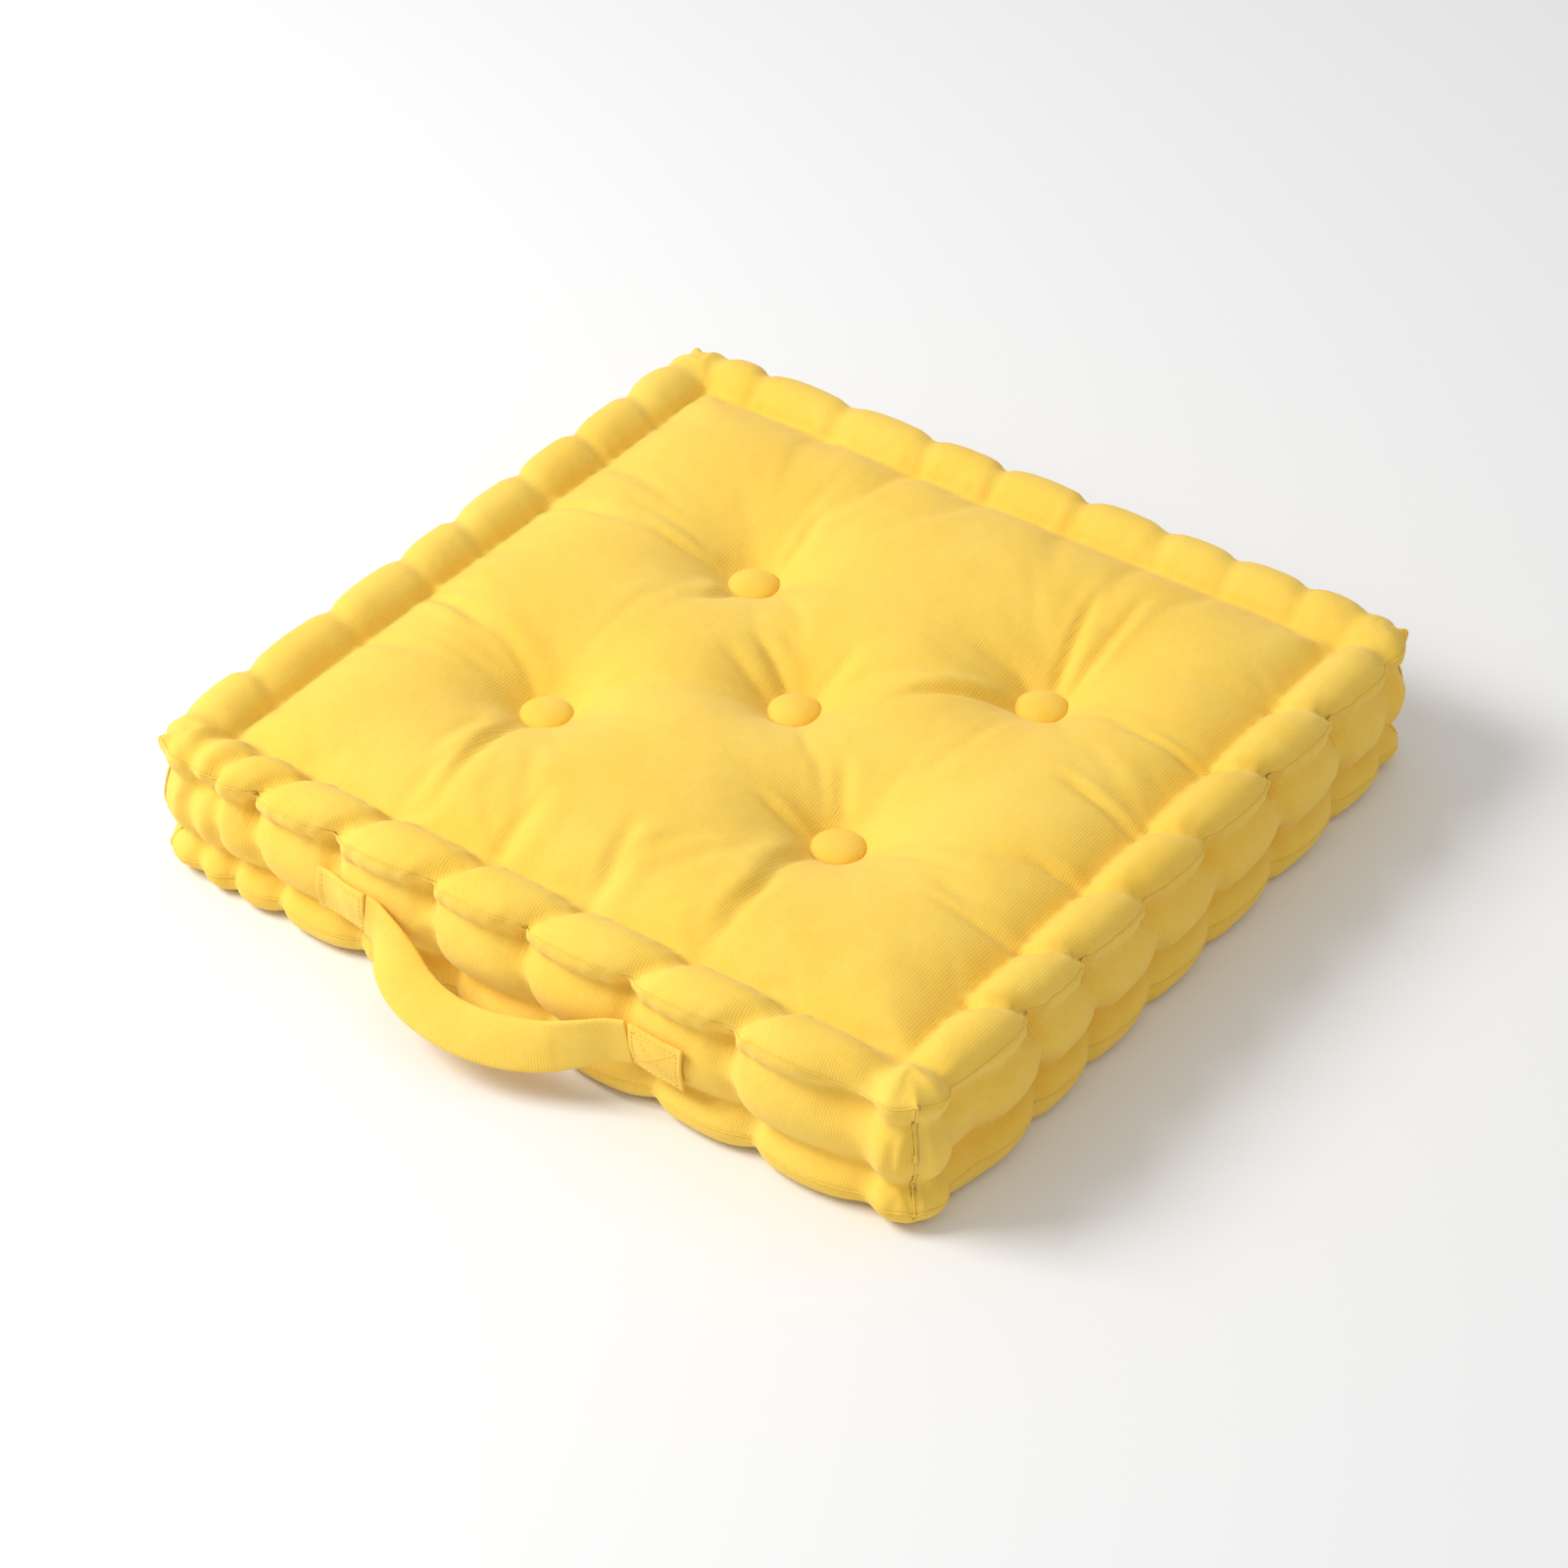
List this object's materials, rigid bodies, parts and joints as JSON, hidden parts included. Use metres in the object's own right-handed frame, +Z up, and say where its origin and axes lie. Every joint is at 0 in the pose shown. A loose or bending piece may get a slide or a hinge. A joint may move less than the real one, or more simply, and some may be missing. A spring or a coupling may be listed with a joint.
{
  "type": "floor cushion",
  "caption": "Square tufted floor cushion with a hand-stitched rolled edge, covered buttons on both faces and a fabric carrying strap sewn to one side.",
  "frame": {"origin": "on the floor under the middle of the cushion's underside", "axes": "+Z up; the carrying strap is on the -Y side, so -Y is the front; +X is to the right seen from the front"},
  "size_m": [0.5122, 0.5448, 0.1],
  "materials": {
    "cover_cloth": "matte",
    "button_cloth": "matte",
    "strap_cloth": "matte",
    "thread": "satin",
    "filling": "matte",
    "button_metal": "satin"
  },
  "bodies": {
    "cushion": {"filling": "filling", "top_panel": "cover_cloth", "bottom_panel": "cover_cloth", "side_panel_front": "cover_cloth", "side_panel_right": "cover_cloth", "side_panel_back": "cover_cloth", "side_panel_left": "cover_cloth", "top_button_cover_center": "button_cloth", "top_button_cover_back_left": "button_cloth", "top_button_cover_back_right": "button_cloth", "top_button_cover_front_left": "button_cloth", "top_button_cover_front_right": "button_cloth", "bottom_button_cover_center": "button_cloth", "bottom_button_cover_back_left": "button_cloth", "bottom_button_cover_back_right": "button_cloth", "bottom_button_cover_front_left": "button_cloth", "bottom_button_cover_front_right": "button_cloth", "strap_tab_left": "strap_cloth", "strap_tab_right": "strap_cloth", "seam_thread_top": "thread", "seam_thread_bottom": "thread", "corner_seam_threads": "thread", "edge_stitches_top": "thread", "edge_stitches_bottom": "thread", "box_stitching_left": "thread", "box_stitching_right": "thread", "tuft_twine_center": "thread", "tuft_twine_back_left": "thread", "tuft_twine_back_right": "thread", "tuft_twine_front_left": "thread", "tuft_twine_front_right": "thread", "top_button_cap_center": "button_metal", "top_button_cap_back_left": "button_metal", "top_button_cap_back_right": "button_metal", "top_button_cap_front_left": "button_metal", "top_button_cap_front_right": "button_metal", "bottom_button_cap_center": "button_metal", "bottom_button_cap_back_left": "button_metal", "bottom_button_cap_back_right": "button_metal", "bottom_button_cap_front_left": "button_metal", "bottom_button_cap_front_right": "button_metal", "top_button_back_center": "button_metal", "top_button_back_back_left": "button_metal", "top_button_back_back_right": "button_metal", "top_button_back_front_left": "button_metal", "top_button_back_front_right": "button_metal", "bottom_button_back_center": "button_metal", "bottom_button_back_back_left": "button_metal", "bottom_button_back_back_right": "button_metal", "bottom_button_back_front_left": "button_metal", "bottom_button_back_front_right": "button_metal"},
    "handle": {"strap_loop": "strap_cloth"}
  },
  "joints": [
    {"name": "handle_swing", "type": "hinge", "parent": "cushion", "child": "handle", "pos_m": [-0.008, -0.249, 0.059], "axis": [-1, 0, 0], "range_deg": [0, 90]}
  ]
}
